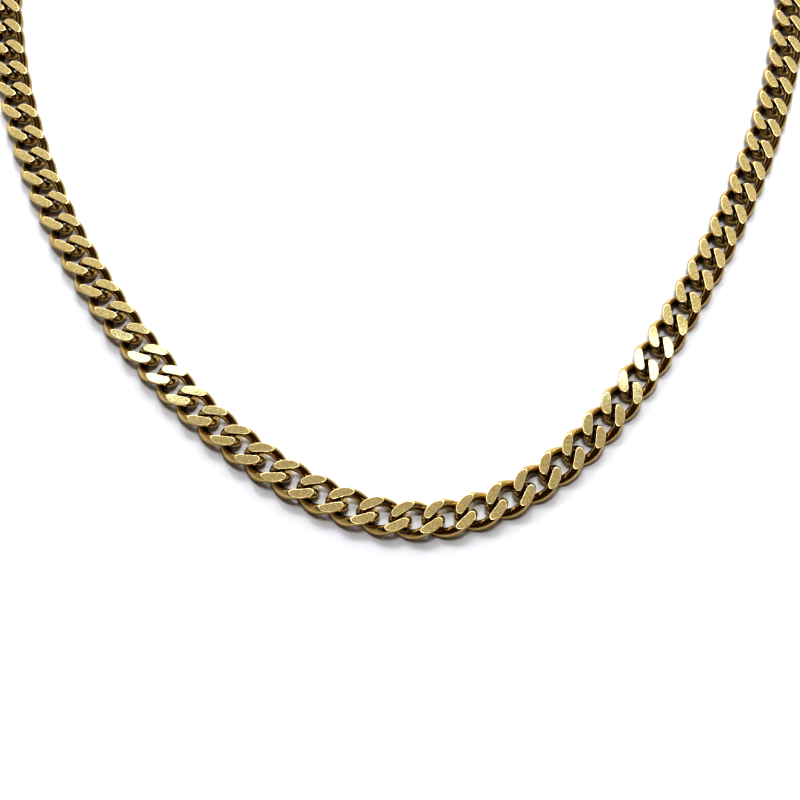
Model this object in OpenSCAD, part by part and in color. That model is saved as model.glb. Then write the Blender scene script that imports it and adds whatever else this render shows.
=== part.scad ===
// Curb chain necklace, lying flat as a closed loop. Millimetres, +Z up.
// Every link is an oval ring of round wire, twisted about its long axis so that its neighbours
// pass through it, and then filed flat on both faces. The links lie on z = 0 on their lower facets.

/* [Link] */
// Diameter of the round wire
wire_d = 1.36; // [1.3:0.02:1.44]
// Length of the see-through hole that two crossing neighbours leave in a link
hole_l = 1.48; // [1.4:0.02:1.8]
// Play along the chain between one link's wire and the next
link_play = 0.4; // [0.38:0.01:0.46]
// Room beside a neighbour's wire inside the ring, on each side
side_room = 0.56; // [0.54:0.01:0.62]
// Turn of each end of the ring about its long axis
link_twist = 50; // [49:1:52]
// Depth filed off the crests of each face
file_depth = 0.47; // [0.3:0.01:0.55]

/* [Chain] */
// Number of links, half of them in each node
link_count = 106; // [80:2:108]
// Distance along the loop from the route's start to where the two halves meet
meet_shift = -1.1; // [-2:0.1:2]

/* [Clasp] */
// Length of the clasp's bar
bar_l = 8.5; // [6:0.5:10]
// How far the bar is wider than a link, on each side
bar_lip = 0.2; // [0.1:0.05:0.4]
// How far the bar's top and underside lie inside the links' filed faces
bar_inset = 0.1; // [0.05:0.05:0.2]
// Radius of the bar's corners seen from above
bar_corner_r = 1.2; // [0.5:0.1:2]
// Drop of the bar's crowned top at its long edges
bar_crown = 0.2; // [0.1:0.05:0.3]
// Depth to which each end loop is soldered into the bar
loop_sunk = 0.25; // [0.2:0.05:0.4]

/* [Hidden] */

// Sides of a link's ring and of its wire
RING_SIDES = 12;
WIRE_SIDES = 6;
// Steepest corner of the wire's polygon above or below the wire's middle
WIRE_CORNER = 60;
// Straight pieces that stand for the curve between two route points
SPAN_STEPS = 16;

// The lie of the chain seen from above, near side first: corners that pull a smooth closed curve
ROUTE = [
    [-23, 8], [0, -4], [21, 7], [36, 31], [47, 53], [56, 79], [60, 110], [51, 139],
    [30, 162], [-2, 169], [-34, 165], [-57, 144], [-68, 114], [-65, 79], [-55, 50], [-41, 27]
];

pitch = 2 * wire_d + hole_l;
ring_a = (pitch + wire_d + link_play) / 2;
ring_b = wire_d + side_room;
link_w = 2 * ring_b + wire_d;
// Highest place of the wire's middle, and the thickness that the files leave
crest = max([for (t = [0:3:90]) ring_b * sin(t) * sin(link_twist * cos(t))]);
chain_t = 2 * (crest + wire_d / 2 - file_depth);
half_count = link_count / 2;
// Distance from the bar's middle to the middle of an end loop, and the length of the whole loop
end_x = bar_l / 2 - loop_sunk;
bar_w = link_w + 2 * bar_lip;
bar_t = chain_t - 2 * bar_inset;
loop_l = (link_count + 1) * pitch + 2 * end_x;

// A point of the smooth closed curve: span i, share u of the way along it
function curve(i, u) =
    let (n = len(ROUTE))
    ((1 - u)^3 * ROUTE[i % n]
    + (3 * u^3 - 6 * u^2 + 4) * ROUTE[(i + 1) % n]
    + (-3 * u^3 + 3 * u^2 + 3 * u + 1) * ROUTE[(i + 2) % n]
    + u^3 * ROUTE[(i + 3) % n]) / 6;

drawn = [for (i = [0:len(ROUTE) - 1], k = [0:SPAN_STEPS - 1]) curve(i, k / SPAN_STEPS)];
drawn_n = len(drawn);
function drawn_step(i) = norm(drawn[(i + 1) % drawn_n] - drawn[i % drawn_n]);
drawn_run = [for (i = 0, s = 0; i <= drawn_n; s = s + drawn_step(i), i = i + 1) s];

// The route is drawn to the chain's own length and centred on the origin
route_scale = loop_l / drawn_run[drawn_n];
route_x = [for (i = [0:drawn_n]) [drawn_run[i] * route_scale, drawn[i % drawn_n].x * route_scale]];
route_y = [for (i = [0:drawn_n]) [drawn_run[i] * route_scale, drawn[i % drawn_n].y * route_scale]];
function middle(table) =
    let (v = [for (row = table) row[1]])
    (min(v) + max(v)) / 2;
mid_x = middle(route_x);
mid_y = middle(route_y);

// Place and heading on the loop at a distance s from where the halves meet
function wrapped(s) = s - loop_l * floor(s / loop_l);
function place(s) =
    let (w = wrapped(s + meet_shift))
    [lookup(w, route_x) - mid_x, lookup(w, route_y) - mid_y];
function heading(s, reach) =
    let (d = place(s + reach) - place(s - reach))
    atan2(d.y, d.x);

// Middle of the twisted wire at angle t round the ring
function ring(t) =
    let (turn = -link_twist * cos(t), y = ring_b * sin(t))
    [ring_a * cos(t), y * cos(turn), y * sin(turn)];

// Corner angle of the wire's polygon: on the filed face where the file reaches, or WIRE_CORNER
function corner(room, rise) = min(WIRE_CORNER, asin(max(0, min(1, room / rise))));

// One section of the wire: six corners, the upper and lower pairs on the filed faces
function section(t) =
    let (
        c = ring(t),
        along = ring(t + 1) - ring(t - 1),
        side = [along.y, -along.x, 0] / norm([along.x, along.y]),
        up = cross(side, along) / norm(along),
        rise = up.z * wire_d / 2,
        top = corner(chain_t / 2 - c.z, rise),
        low = corner(chain_t / 2 + c.z, rise)
    )
    [for (w = [0, top, 180 - top, 180, 180 + low, -low])
        c + wire_d / 2 * (cos(w) * side + sin(w) * up)];

// Points of the ring from one angle to another, a section at each of its corners
function wire_points(from, to) =
    [for (i = [from:to]) each section(i * 360 / RING_SIDES)];

// Triangles along the wire from section i to the next, for a ring of n sections
function wire_faces(i, n, first = 0) =
    [for (j = [0:WIRE_SIDES - 1])
        let (
            i2 = (i + 1) % n,
            j2 = (j + 1) % WIRE_SIDES,
            p = first + i * WIRE_SIDES + j,
            q = first + i2 * WIRE_SIDES + j,
            r = first + i2 * WIRE_SIDES + j2,
            s = first + i * WIRE_SIDES + j2
        )
        each [[p, r, q], [p, s, r]]];

link_points = wire_points(0, RING_SIDES - 1);
LINK_N = RING_SIDES * WIRE_SIDES;

// The link's points set down at a place [x, y] and turned to a heading
function set_down(at, turn) =
    [for (p = link_points)
        [at.x + p.x * cos(turn) - p.y * sin(turn),
         at.y + p.x * sin(turn) + p.y * cos(turn),
         p.z + chain_t / 2]];

// A run of links, from the meeting place onwards: way is 1 to the right and -1 to the left
module links(way) {
    at = [for (k = [0:half_count - 1]) way * (k + 0.5) * pitch];
    polyhedron(
        points = [for (s = at) each set_down(place(s), heading(s, pitch / 2))],
        faces = [for (k = [0:half_count - 1], i = [0:RING_SIDES - 1])
            each wire_faces(i, RING_SIDES, k * LINK_N)],
        convexity = 10);
}

module chain_left() {
    color("goldenrod") links(-1);
}

module chain_right() {
    color("darkgoldenrod") links(1);
}

// Outline of the clasp's bar: a plate with round corners
module bar_outline() {
    for (x = [-1, 1], y = [-1, 1])
        translate([x * (bar_l / 2 - bar_corner_r), y * (bar_w / 2 - bar_corner_r)])
            circle(r = bar_corner_r, $fn = 48);
    square([bar_l - 2 * bar_corner_r, bar_w], center = true);
    square([bar_l, bar_w - 2 * bar_corner_r], center = true);
}

// Radius of the round back that crowns the bar's top
crown_r = ((bar_w / 2)^2 + bar_crown^2) / (2 * bar_crown);

module clasp_bar() {
    intersection() {
        translate([0, 0, bar_inset]) linear_extrude(bar_t) bar_outline();
        translate([0, 0, bar_inset + bar_t - crown_r]) rotate([0, 90, 0])
            cylinder(r = crown_r, h = 2 * bar_l, center = true, $fn = 96);
    }
}

// An end loop: the outer half of one more link of the chain's own form, its two ends in the bar
QUARTER = RING_SIDES / 4;
module end_loop() {
    last = 2 * QUARTER;
    translate([end_x, 0, chain_t / 2])
        polyhedron(
            points = wire_points(-QUARTER, QUARTER),
            faces = [
                for (i = [0:last - 1]) each wire_faces(i, last + 1),
                [for (j = [WIRE_SIDES - 1:-1:0]) j],
                [for (j = [0:WIRE_SIDES - 1]) last * WIRE_SIDES + j]
            ],
            convexity = 6);
}

module clasp() {
    far = loop_l / 2;
    at = (place(far - end_x) + place(far + end_x)) / 2;
    color("gold") translate([at.x, at.y, 0]) rotate(heading(far, end_x)) {
        clasp_bar();
        end_loop();
        rotate(180) end_loop();
    }
}

chain_left();
chain_right();
clasp();
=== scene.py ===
# %% [markdown]
# # A curb chain necklace
# A curb chain is a row of oval rings of round wire. Each ring is twisted about its long axis, so
# that its neighbours pass through it lying down, and then both faces of the chain are filed flat.
# The CAD model holds every link in its place, as a ring of a few straight pieces. This lesson
# loads it as a fixed frame and models one smooth link and one clasp, which then take the places
# that the CAD model gives. Everything ends up in metres, with +Z up off the surface.

# %% The frame
import math

import bpy
from mathutils import Matrix, Vector


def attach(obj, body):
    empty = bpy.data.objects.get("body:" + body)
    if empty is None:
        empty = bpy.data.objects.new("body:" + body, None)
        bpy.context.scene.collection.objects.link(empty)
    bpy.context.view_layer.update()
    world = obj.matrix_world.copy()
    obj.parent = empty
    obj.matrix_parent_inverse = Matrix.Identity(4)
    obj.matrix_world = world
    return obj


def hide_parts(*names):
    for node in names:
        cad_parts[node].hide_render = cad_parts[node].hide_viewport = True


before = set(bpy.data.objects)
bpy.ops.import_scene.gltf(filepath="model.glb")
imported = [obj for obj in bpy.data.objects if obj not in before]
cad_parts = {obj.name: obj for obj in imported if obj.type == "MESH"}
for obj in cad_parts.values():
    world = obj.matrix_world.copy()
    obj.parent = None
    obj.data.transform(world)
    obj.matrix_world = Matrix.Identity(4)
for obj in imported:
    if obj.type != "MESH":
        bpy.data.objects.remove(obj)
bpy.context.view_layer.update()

MM = 0.001

# %% [markdown]
# ## Camera
# The necklace lies on a table, and the camera looks down on it from the near side, 62 degrees
# above the table and turned a little. A lens longer than normal keeps the far links nearly as
# large as the near ones. The place is given in the chain's own frame and the lens in millimetres
# on a sensor 36 mm wide, as on a real camera.

# %% The camera
CAMERA_AT = Vector((0.41, -159.85, 176.23)) * MM
CAMERA_DOWN = math.radians(61.89)
CAMERA_TURN = math.radians(1.05)
CAMERA_ROLL = math.radians(3.02)
SENSOR = 36.0
LENS = 67.4
CLIP_START = 0.01


def camera_axes(down, turn, roll):
    """The camera's right, up and backward directions."""
    ahead = Vector(
        (math.sin(turn) * math.cos(down), math.cos(turn) * math.cos(down), -math.sin(down))
    )
    level = Vector((math.cos(turn), -math.sin(turn), 0))
    above = level.cross(ahead)
    right = math.cos(roll) * level + math.sin(roll) * above
    up = math.cos(roll) * above - math.sin(roll) * level
    return right, up, -ahead


axes = camera_axes(CAMERA_DOWN, CAMERA_TURN, CAMERA_ROLL)
bpy.ops.object.camera_add()
camera = bpy.context.object
camera.name = "camera"
camera.matrix_world = Matrix.Translation(CAMERA_AT) @ Matrix(axes).transposed().to_4x4()
camera.data.sensor_width = SENSOR
camera.data.lens = LENS
camera.data.clip_start = CLIP_START
bpy.context.scene.camera = camera
print("camera", [round(v / MM) for v in CAMERA_AT], "mm, lens", LENS, "mm")

# %% [markdown]
# ## Floor
# A plain white table. It is part of the stage and not of the necklace.
# It lies a hundredth of a millimetre under the links, because two surfaces in one place flicker.
# It reaches far out, so that a low view meets no edge of it. The lamps light only its middle, so
# further out it glows a little by itself and stays white up to the horizon. A bigger lamp would do
# that as well, but it would show in the gold.

# %% The floor
FLOOR_SIZE = 12.0
FLOOR_DROP = 0.01 * MM
TABLE_COLOUR = (0.88, 0.885, 0.89, 1)
TABLE_ROUGHNESS = 0.7
GLOW_FROM, GLOW_TO = 0.2, 1.0
WHITE = (1, 1, 1, 1)


def feed(node, inputs):
    """Gives a node its inputs: an output of another node is wired in, any other value is set."""
    for name, source in inputs.items():
        if isinstance(source, bpy.types.NodeSocket):
            node.id_data.links.new(source, node.inputs[name])
        else:
            node.inputs[name].default_value = source


bpy.ops.mesh.primitive_plane_add(size=FLOOR_SIZE, location=(0, 0, -FLOOR_DROP))
floor = bpy.context.object
floor.name = "floor"
table = bpy.data.materials.new("white_table")
table.use_nodes = True
nodes = table.node_tree.nodes
reach = nodes.new("ShaderNodeVectorMath")
reach.operation = "LENGTH"
feed(reach, {"Vector": nodes.new("ShaderNodeTexCoord").outputs["Object"]})
glow = nodes.new("ShaderNodeMapRange")
glow.interpolation_type = "SMOOTHSTEP"
feed(glow, {"Value": reach.outputs["Value"], "From Min": GLOW_FROM, "From Max": GLOW_TO})
feed(nodes["Principled BSDF"], {
    "Base Color": TABLE_COLOUR,
    "Roughness": TABLE_ROUGHNESS,
    "Emission Color": WHITE,
    "Emission Strength": glow.outputs["Result"],
})
floor.data.materials.append(table)
print("floor", FLOOR_SIZE, "m wide")

# %% [markdown]
# ## Light
# Polished gold has no look of its own: it shows the room. So each lamp is a soft box that stands
# where the camera sees it in some part of the chain. The top and the windows behind light the
# table, and the low window draws the shadow out softly towards the camera. The ceilings stand
# where the filed faces mirror them, which gives those their even tan, and one narrow tube crosses
# them, which a few faces catch as white. Low pale walls and a panel overhead do the same for views
# from other sides. The rest of the room is dark and warm and draws the black bands on the wire.
# Only the camera itself sees a white wall there. Each box is given by the direction it stands in,
# and its power follows from the brightness that its surface shall have. A gamma below 1 deepens
# the middle tones of the picture, as a product photo does.

# %% The lamps
LOOK_AT = Vector((0, -20, 0)) * MM
SKY = (0.92, 0.96, 1)
DAYLIGHT = (0.96, 0.98, 1)
COLD = (0.6, 0.76, 1)
LAMPS = [
    # Name, azimuth, elevation, distance, width and height, brightness, and a colour if not white
    ("top", 0, 84, 1.5, (0.35, 0.35), 26, SKY),
    ("back_window", 0, 51, 1.5, (0.4, 0.4), 18, SKY),
    ("left_window", -45, 42, 1.5, (0.5, 0.5), 6, DAYLIGHT),
    ("right_window", 45, 42, 1.5, (0.5, 0.5), 4.5, DAYLIGHT),
    ("low_window", 0, 22, 2.9, (3.0, 0.6), 10, DAYLIGHT),
    ("tube", -3, 61.3, 2.9, (1.5, 0.07), 3.6, COLD),
    ("overhead", 0, 90, 3.0, (2.4, 2.4), 0.15),
    ("near_ceiling", 0, 68, 3.0, (2.4, 0.7), 0.54),
    ("far_ceiling", 0, 50, 3.0, (3.0, 1.1), 0.75),
    ("far_wall", 0, 14, 3.0, (5.6, 1.6), 0.7),
    ("left_wall", -90, 14, 3.0, (5.6, 1.6), 0.5),
    ("right_wall", 90, 14, 3.0, (5.6, 1.6), 0.5),
    ("front_wall", 180, 10, 3.0, (5.6, 1.1), 0.25),
]
ROOM_DARK = (0.05, 0.0175, 0.006, 1)
GAMMA = 0.7


def soft_box(name, azimuth, elevation, distance, size, brightness, colour=(1, 1, 1)):
    """An area lamp that faces the chain. Azimuth 0 is behind the chain, 90 to its right."""
    a, e = math.radians(azimuth), math.radians(elevation)
    away = Vector((math.sin(a) * math.cos(e), math.cos(a) * math.cos(e), math.sin(e)))
    bpy.ops.object.light_add(type="AREA", location=LOOK_AT + away * distance)
    lamp = bpy.context.object
    lamp.name = name
    lamp.rotation_euler = away.to_track_quat("Z", "Y").to_euler()
    lamp.data.shape = "RECTANGLE"
    lamp.data.size, lamp.data.size_y = size
    lamp.data.energy = brightness * math.pi * size[0] * size[1]
    lamp.data.color = colour


for lamp in LAMPS:
    soft_box(*lamp)

world = bpy.data.worlds.new("dark_room")
bpy.context.scene.world = world
world.use_nodes = True
nodes = world.node_tree.nodes
wall = nodes.new("ShaderNodeMix")
wall.data_type = "RGBA"
seen = nodes.new("ShaderNodeLightPath").outputs["Is Camera Ray"]
feed(wall, {"Factor": seen, "A": ROOM_DARK, "B": WHITE})
feed(nodes["Background"], {"Color": wall.outputs["Result"]})
bpy.context.scene.view_settings.view_transform = "Standard"
bpy.context.scene.view_settings.gamma = GAMMA
print(len(LAMPS), "lamps")

# %% [markdown]
# ## The chain's route
# The middle of the chain follows one smooth closed curve, drawn by sixteen corners that pull on
# it. This is a B-spline: each stretch of it is a weighted mean of four corners in a row, so it
# bends without a kink. It could be measured off the CAD solids instead, but the same few numbers
# give every link's place and heading exactly. The curve is scaled to the chain's length, and each
# link is set down by its distance along it. The two halves meet at the front, a little before the
# curve's start.

# %% Place and heading along the route
ROUTE = [
    (-23, 8), (0, -4), (21, 7), (36, 31), (47, 53), (56, 79), (60, 110), (51, 139),
    (30, 162), (-2, 169), (-34, 165), (-57, 144), (-68, 114), (-65, 79), (-55, 50), (-41, 27),
]
SPAN_STEPS = 16
LINK_COUNT = 106
PITCH = 4.2 * MM
CLASP_REACH = 4.0 * MM
MEETING_SHIFT = -1.1 * MM
LOOP_LENGTH = (LINK_COUNT + 1) * PITCH + 2 * CLASP_REACH


def route_point(span, u):
    """A point of the curve, a share u of the way along one span."""
    a, b, c, d = (Vector(ROUTE[(span + k) % len(ROUTE)]) for k in range(4))
    return (
        (1 - u) ** 3 * a
        + (3 * u**3 - 6 * u**2 + 4) * b
        + (-3 * u**3 + 3 * u**2 + 3 * u + 1) * c
        + u**3 * d
    ) / 6


drawn = [route_point(i, k / SPAN_STEPS) for i in range(len(ROUTE)) for k in range(SPAN_STEPS)]
drawn.append(drawn[0])
run = [0.0]
for start, end in zip(drawn, drawn[1:]):
    run.append(run[-1] + (end - start).length)
scale = LOOP_LENGTH / run[-1]
run = [s * scale for s in run]
drawn = [p * scale for p in drawn]
middle = Vector(
    [(min(p[k] for p in drawn) + max(p[k] for p in drawn)) / 2 for k in range(2)]
)


def place(s):
    """The point at a distance s along the chain from where its two halves meet."""
    s = (s + MEETING_SHIFT) % LOOP_LENGTH
    i = max(k for k in range(len(run) - 1) if run[k] <= s)
    share = (s - run[i]) / (run[i + 1] - run[i])
    return drawn[i].lerp(drawn[i + 1], share) - middle


def heading(s, reach):
    """The direction of the chain at s, from a point behind it to one ahead."""
    d = place(s + reach) - place(s - reach)
    return math.atan2(d.y, d.x)


print("loop of", round(LOOP_LENGTH / MM, 1), "mm, front at", [round(v / MM, 2) for v in place(0)])

# %% [markdown]
# ## One link: the twisted wire
# A link starts as a circle of points, pulled out to an oval. A twist about its long axis turns
# one end up and the other down, which is what lets the next link through. The twist comes while
# the link is still a bare line: a finished tube would be squashed by it, where real wire keeps
# its round section. Then the line becomes a curve with a round bevel, and the curve a mesh. The
# link is modelled in millimetres and made small at the end, because several operators merge
# points that lie nearer than a tenth of a millimetre to each other.

# %% The wire ring
WIRE = 1.36
RING_HALF_LENGTH = 2.98
RING_HALF_WIDTH = 1.92
TWIST = math.radians(50)
RING_POINTS = 44
WIRE_ROUNDNESS = 5


def edit_whole():
    """Opens the active piece in edit mode, with all of it selected."""
    bpy.ops.object.mode_set(mode="EDIT")
    bpy.ops.mesh.select_all(action="SELECT")


bpy.ops.mesh.primitive_circle_add(vertices=RING_POINTS, radius=1)
link = bpy.context.object
link.name = "link"
edit_whole()
bpy.ops.transform.resize(value=(RING_HALF_LENGTH, RING_HALF_WIDTH, 1))
bpy.ops.object.mode_set(mode="OBJECT")

twist = link.modifiers.new("twist", "SIMPLE_DEFORM")
twist.deform_method = "TWIST"
twist.deform_axis = "X"
twist.angle = -2 * TWIST
bpy.ops.object.modifier_apply(modifier="twist")
crest = max(v.co.z for v in link.data.vertices)

bpy.ops.object.convert(target="CURVE")
link.data.dimensions = "3D"
link.data.bevel_depth = WIRE / 2
link.data.bevel_resolution = WIRE_ROUNDNESS
bpy.ops.object.convert(target="MESH")
link = bpy.context.object
print("wire ring:", len(link.data.polygons), "faces, crest of its middle at", round(crest, 3), "mm")

# %% [markdown]
# ## One link: the filed faces
# The chain is pulled over a flat file, which takes the crests off all links in one plane. Bisect
# does the same: it cuts the mesh at a height, throws away what is above and closes the cut. A
# narrow bevel round each cut stands for the edge that the file turns over and the wheel rounds. It
# draws a thin bright line round every filed face, and its faces get a finish of their own below.
# The link ends up as thick as the CAD model's links.

# %% The filed faces
THICKNESS = 1.99324
HALF = THICKNESS / 2
RIM = 0.045
RIM_STEPS = 4
CUT_SLACK = 1e-5
LEVEL = 0.9999
IN_PLANE = 0.001


def cut(at, normal, **parts):
    """Cuts all of the open piece along a plane. Parts says what is cleared and filled."""
    bpy.ops.mesh.select_all(action="SELECT")
    bpy.ops.mesh.bisect(plane_co=at, plane_no=normal, threshold=CUT_SLACK, **parts)


def pick(piece, kind, wanted):
    """Selects in edit mode the faces or edges that a test wants, and counts them."""
    bpy.ops.object.mode_set(mode="EDIT")
    bpy.ops.mesh.select_mode(type=kind)
    bpy.ops.mesh.select_all(action="DESELECT")
    bpy.ops.object.mode_set(mode="OBJECT")
    parts = piece.data.polygons if kind == "FACE" else piece.data.edges
    for part in parts:
        part.select = wanted(part)
    count = sum(part.select for part in parts)
    bpy.ops.object.mode_set(mode="EDIT")
    return count


def is_filed(face):
    """True for a face that lies in a filed plane."""
    return abs(face.normal.z) > LEVEL and abs(abs(face.center.z) - HALF) < IN_PLANE


bpy.ops.object.mode_set(mode="EDIT")
for side in (1, -1):
    cut((0, 0, side * HALF), (0, 0, side), use_fill=True, clear_outer=True)
bpy.ops.mesh.select_all(action="SELECT")
bpy.ops.mesh.normals_make_consistent(inside=False)
filed_count = pick(link, "FACE", is_filed)
bpy.ops.mesh.bevel(offset=RIM, segments=RIM_STEPS, affect="EDGES")
bpy.ops.object.mode_set(mode="OBJECT")
rim = [face.index for face in link.data.polygons if face.select]
print(filed_count, "filed faces,", len(rim), "rim faces,", len(link.data.polygons), "faces in all")

# %% [markdown]
# ## Painted shade where the links cross
# Between two links, and low on the walls of the wire, the gold lies in shade and looks dark brown.
# That shade is painted into the colour here, and the gold is made rougher there too. A shade mask
# could be painted by hand, or found by ray casting, but here the shape itself says where it is:
# close to the next link's wire, and on the ring's inner and outer walls, the outer one most of all
# low down. Each point of the link gets a number from 0, open, to 1, deep in shade, which is stored
# with the mesh, so that every copy carries it.

# %% The painted shade of each point
TRACK_STEPS = 90
SHADE_NEAR = 0.15
SHADE_FAR = 1.1
CROSSING_POWER = 1.5
CROSSING_WEIGHT, CROSSING_LOSS = 0.6, 0.4
INNER_WEIGHT = 0.5
OUTER_WEIGHT, LOW_WEIGHT, LOW_SHIFT = 0.45, 0.4, 0.5


def wire_middle(t):
    """The middle of the twisted wire at angle t round the ring, in millimetres."""
    turn = -TWIST * math.cos(t)
    y = RING_HALF_WIDTH * math.sin(t)
    return Vector((RING_HALF_LENGTH * math.cos(t), y * math.cos(turn), y * math.sin(turn)))


track = [wire_middle(math.tau * k / TRACK_STEPS) for k in range(TRACK_STEPS)]
neighbours = [p + Vector((way * PITCH / MM, 0, 0)) for way in (-1, 1) for p in track]


def clamp(value):
    return max(0.0, min(1.0, value))


def painted_shade(point):
    """How deep in painted shade a point of the link is, from 0 to 1."""
    gap = min((point - p).length for p in neighbours) - WIRE / 2
    own = min(track, key=lambda p: (point - p).length)
    outward = Vector((own.x / RING_HALF_LENGTH, own.y / RING_HALF_WIDTH, 0)).normalized()
    side = (point - own).dot(outward) / (WIRE / 2)
    low = (own.z - point.z) / (WIRE / 2)
    crossing = clamp((SHADE_FAR - gap) / (SHADE_FAR - SHADE_NEAR)) ** CROSSING_POWER
    inner = INNER_WEIGHT * clamp(-side)
    outer = clamp(side) * (OUTER_WEIGHT + LOW_WEIGHT * clamp(low + LOW_SHIFT))
    return clamp(crossing * (CROSSING_WEIGHT - CROSSING_LOSS * side) + inner + outer)


# Painted shade: the number on each point darkens the gold between links and low on the wire's
# walls.
mask = link.data.attributes.new("painted_shade", "FLOAT", "POINT")
for point, slot in zip(link.data.vertices, mask.data):
    slot.value = painted_shade(point.co)
values = sorted(slot.value for slot in mask.data)
print("shelter: median", round(values[len(values) // 2], 2), "highest", round(values[-1], 2))

# %% [markdown]
# ## Finish of the wire
# The wire is gold plate over brass, tumbled bright. It is never a perfect mirror: drawing leaves
# fine waves, handling leaves a haze, and the colour is a little redder where the plate is thin.
# So noises of several sizes move the colour, the roughness and the height of the surface, and
# between the links and low on the walls the gold is painted dark brown as shade, and made rougher.

# %% Polished gold
COLOUR_STOPS = (0.35, 0.65)
HAZE_FROM, HAZE_TO = 0.3, 0.7
NOISE_DETAIL, HAZE_DETAIL = 2, 3
DULL_ROUGHNESS = 0.2


def gold_material(name, deep, pale, rough, scales, depths, shade_tone=None):
    """Metal that wanders between two colours and over a range of roughness. Scales are the sizes
    of both noises in millimetres, and depths the size and depth of each noise that moves its
    height. Where a shade colour is given, it is painted shade: marked points take it and get
    rougher."""
    material = bpy.data.materials.new(name)
    material.use_nodes = True
    nodes = material.node_tree.nodes
    where = nodes.new("ShaderNodeTexCoord").outputs["Object"]

    def noise(size, detail):
        node = nodes.new("ShaderNodeTexNoise")
        feed(node, {"Vector": where, "Scale": 1 / (size * MM), "Detail": detail})
        return node.outputs["Fac"]

    colours = nodes.new("ShaderNodeValToRGB")
    for stop, position, tone in zip(colours.color_ramp.elements, COLOUR_STOPS, (deep, pale)):
        stop.position = position
        stop.color = (*tone, 1)
    feed(colours, {"Fac": noise(scales[0], NOISE_DETAIL)})
    haze = nodes.new("ShaderNodeMapRange")
    feed(haze, {
        "Value": noise(scales[1], HAZE_DETAIL),
        "From Min": HAZE_FROM, "From Max": HAZE_TO, "To Min": rough[0], "To Max": rough[1],
    })
    colour, roughness = colours.outputs["Color"], haze.outputs["Result"]
    # Painted shade: points that the mask marks take a dark brown colour, and get rougher.
    if shade_tone:
        shade_mask = nodes.new("ShaderNodeAttribute")
        shade_mask.attribute_name = "painted_shade"
        shade_mix = nodes.new("ShaderNodeMix")
        shade_mix.data_type = "RGBA"
        feed(shade_mix, {"Factor": shade_mask.outputs["Fac"], "A": colour, "B": (*shade_tone, 1)})
        dulling = nodes.new("ShaderNodeMix")
        feed(dulling, {"Factor": shade_mask.outputs["Fac"], "A": roughness, "B": DULL_ROUGHNESS})
        colour, roughness = shade_mix.outputs["Result"], dulling.outputs["Result"]

    normal = {}
    for size, depth in depths:
        bump = nodes.new("ShaderNodeBump")
        height = noise(size, NOISE_DETAIL)
        feed(bump, {"Strength": 1, "Distance": depth * MM, "Height": height, **normal})
        normal = {"Normal": bump.outputs["Normal"]}
    surface = {"Metallic": 1, "Base Color": colour, "Roughness": roughness, **normal}
    feed(nodes["Principled BSDF"], surface)
    return material


# The last colour given is the painted shade between links and low on the wire's walls.
polished = gold_material(
    "polished_gold", deep=(0.78, 0.58, 0.23), pale=(0.86, 0.69, 0.31), rough=(0.1, 0.2),
    scales=(3.0, 0.6), depths=((1.4, 0.04), (0.25, 0.003)), shade_tone=(0.2, 0.12, 0.042),
)
print("material", polished.name)

# %% [markdown]
# ## Finish of the filed faces
# Filing and a light blast leave the flat faces satin, with a fine stipple that sparkles under a
# lamp. No two faces lie quite level, which is why one flashes white and its neighbour stays tan.
# A wide shallow noise tips each face by half a degree, a very fine one gives the stipple, and the
# colour wanders from grain to grain. The rim round a face is burnished: paler, and rough enough to
# catch light from all round, which makes it the thin bright line.

# %% Satin and burnished gold
satin = gold_material(
    "satin_gold", deep=(0.84, 0.69, 0.33), pale=(0.96, 0.84, 0.45), rough=(0.05, 0.09),
    scales=(0.3, 0.25), depths=((5.0, 0.012), (0.18, 0.0021)),
)
burnished = gold_material(
    "burnished_gold", deep=(0.78, 0.64, 0.37), pale=(0.88, 0.75, 0.48), rough=(0.3, 0.42),
    scales=(1.2, 0.5), depths=((0.3, 0.004),),
)
FINISHES = (polished, satin, burnished)


def only(piece):
    """Selects one piece and nothing else."""
    bpy.ops.object.select_all(action="DESELECT")
    piece.select_set(True)
    bpy.context.view_layer.objects.active = piece


for finish in FINISHES:
    link.data.materials.append(finish)
for index in rim:
    link.data.polygons[index].material_index = FINISHES.index(burnished)
only(link)
bpy.ops.object.shade_smooth()
pick(link, "FACE", is_filed)
link.active_material_index = FINISHES.index(satin)
bpy.ops.object.material_slot_assign()
bpy.ops.mesh.faces_shade_flat()
bpy.ops.object.mode_set(mode="OBJECT")
satin_count = sum(face.material_index == FINISHES.index(satin) for face in link.data.polygons)
print("faces in satin gold:", satin_count)

# %% [markdown]
# ## Laying the chain
# A jeweller closes one link after another. Here each half of the chain is copies of the one link,
# made small, turned to the route's heading and set down on their filed undersides, and then
# joined, so that a half is one piece as its CAD node is. The halves meet at the front.

# %% The two halves


def copy_link():
    """One more link, with a mesh of its own."""
    copy = link.copy()
    copy.data = link.data.copy()
    bpy.context.scene.collection.objects.link(copy)
    return copy


def set_down(at, turn):
    """The move that takes a link from its millimetre drawing to its place on the table."""
    return (
        Matrix.Translation((at.x, at.y, HALF * MM))
        @ Matrix.Rotation(turn, 4, "Z")
        @ Matrix.Scale(MM, 4)
    )


def join(pieces):
    """Joins pieces into the first of them."""
    only(pieces[0])
    for piece in pieces:
        piece.select_set(True)
    bpy.ops.object.join()
    return bpy.context.object


def lay_half(name, way):
    """One half of the chain: way is 1 to the right and -1 to the left."""
    copies = []
    for k in range(LINK_COUNT // 2):
        s = way * (k + 0.5) * PITCH
        copies.append(copy_link())
        copies[-1].data.transform(set_down(place(s), heading(s, PITCH / 2)))
    half = join(copies)
    half.name = half.data.name = name
    return half


for name, node, way in (("links_left", "chain_left", -1), ("links_right", "chain_right", 1)):
    half = lay_half(name, way)
    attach(half, "root")
    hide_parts(node)
    half.data.calc_loop_triangles()
    print(name, len(half.data.loop_triangles), "triangles")

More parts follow.
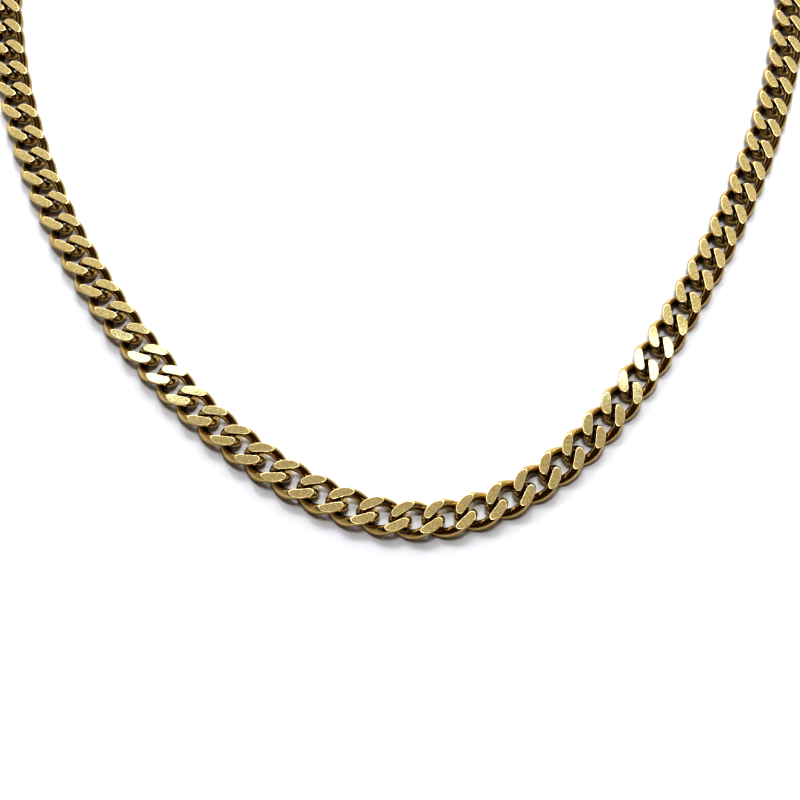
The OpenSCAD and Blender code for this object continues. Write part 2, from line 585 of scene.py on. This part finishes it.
# %% [markdown]
# ## Clasp
# The two ends of the chain close at the back in a plain bar. Each end of the bar carries the
# outer half of one more link, soldered in, so the chain runs on without a step. The bar could be
# a bare block, but a hand feels every edge of a clasp: its corners are rounded, its top is
# crowned, and all its edges are broken by a small bevel. It is modelled in millimetres too.

# %% The clasp's bar
BAR_LENGTH = 8.5
BAR_WIDTH = 5.6
BAR_INSET = 0.1
BAR_CORNER = 1.2
CORNER_STEPS = 8
BAR_CROWN = 0.2
CROWN_CUTS = 12
EDGE_BREAK = 0.12
EDGE_STEPS = 3
NEARLY_LEVEL = 0.5

bar_height = THICKNESS - 2 * BAR_INSET
crown_radius = ((BAR_WIDTH / 2) ** 2 + BAR_CROWN**2) / (2 * BAR_CROWN)
bpy.ops.mesh.primitive_cube_add(size=1)
bar = bpy.context.object
bar.name = "clasp_bar"
edit_whole()
bpy.ops.transform.resize(value=(BAR_LENGTH, BAR_WIDTH, bar_height))


def is_upright(edge):
    """True for an edge of the block that runs from its underside to its top."""
    low, high = sorted(bar.data.vertices[i].co.z for i in edge.vertices)
    return high - low > bar_height / 2


upright = pick(bar, "EDGE", is_upright)
bpy.ops.mesh.bevel(offset=BAR_CORNER, segments=CORNER_STEPS, affect="EDGES")
for k in range(1, CROWN_CUTS):
    cut((0, BAR_WIDTH * (k / CROWN_CUTS - 0.5), 0), (0, 1, 0))
bpy.ops.object.mode_set(mode="OBJECT")
for point in bar.data.vertices:
    if point.co.z > 0:
        point.co.z -= crown_radius - math.sqrt(crown_radius**2 - point.co.y**2)

pick(bar, "FACE", lambda face: abs(face.normal.z) > NEARLY_LEVEL)
bpy.ops.mesh.region_to_loop()
bpy.ops.mesh.bevel(offset=EDGE_BREAK, segments=EDGE_STEPS, affect="EDGES")
bpy.ops.object.mode_set(mode="OBJECT")
print("bar:", upright, "upright edges rounded,", len(bar.data.polygons), "faces")

# %% [markdown]
# ## The end loops
# An end loop is the link again, cut across its middle, with the outer half kept and pushed into
# the end of the bar. Copying the link keeps its wire, its twist and its filed faces the same.

# %% The end loops and the place of the clasp
SMOOTH_BELOW = math.radians(35)


def end_loop(turn):
    """The outer half of a link at one end of the bar."""
    loop = copy_link()
    only(loop)
    bpy.ops.object.mode_set(mode="EDIT")
    cut((0, 0, 0), (1, 0, 0), use_fill=True, clear_inner=True)
    bpy.ops.object.mode_set(mode="OBJECT")
    outwards = Matrix.Translation((CLASP_REACH / MM, 0, 0))
    loop.data.transform(Matrix.Rotation(turn, 4, "Z") @ outwards)
    return loop


clasp_parts = [bar, end_loop(0), end_loop(math.pi)]
for part in clasp_parts:
    only(part)
    bpy.ops.object.shade_smooth_by_angle(angle=SMOOTH_BELOW)

far = LOOP_LENGTH / 2
clasp_at = (place(far - CLASP_REACH) + place(far + CLASP_REACH)) / 2
clasp_turn = heading(far, CLASP_REACH)
print("clasp at", [round(v / MM, 1) for v in clasp_at], "turned", round(math.degrees(clasp_turn)))

# %% [markdown]
# ## Finish of the clasp
# Clasps are brushed along their length, so that scratches from use don't show. The brush marks
# are the finest noise, stretched forty times along the bar and turned to the bar's heading.

# %% Brushed gold
BRUSH_STRETCH = 40

brushed = gold_material(
    "brushed_gold", deep=(0.76, 0.52, 0.19), pale=(0.86, 0.65, 0.28), rough=(0.2, 0.34),
    scales=(2.0, 0.4), depths=((2.5, 0.03), (0.09, 0.006)),
)
nodes = brushed.node_tree.nodes
along = nodes.new("ShaderNodeMapping")
along.vector_type = "TEXTURE"
feed(along, {
    "Vector": next(node for node in nodes if node.type == "TEX_COORD").outputs["Object"],
    "Rotation": (0, 0, clasp_turn),
    "Scale": (BRUSH_STRETCH, 1, 1),
})
noises = [node for node in nodes if node.type == "TEX_NOISE"]
finest = max(noises, key=lambda node: node.inputs["Scale"].default_value)
feed(finest, {"Vector": along.outputs["Vector"]})

bar.data.materials.append(brushed)
join(clasp_parts)
bar.data.transform(set_down(clasp_at, clasp_turn))
bar.data.name = "clasp_bar"
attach(bar, "root")
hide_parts("clasp")
bpy.data.objects.remove(link)
print("clasp of", len(bar.data.polygons), "faces")
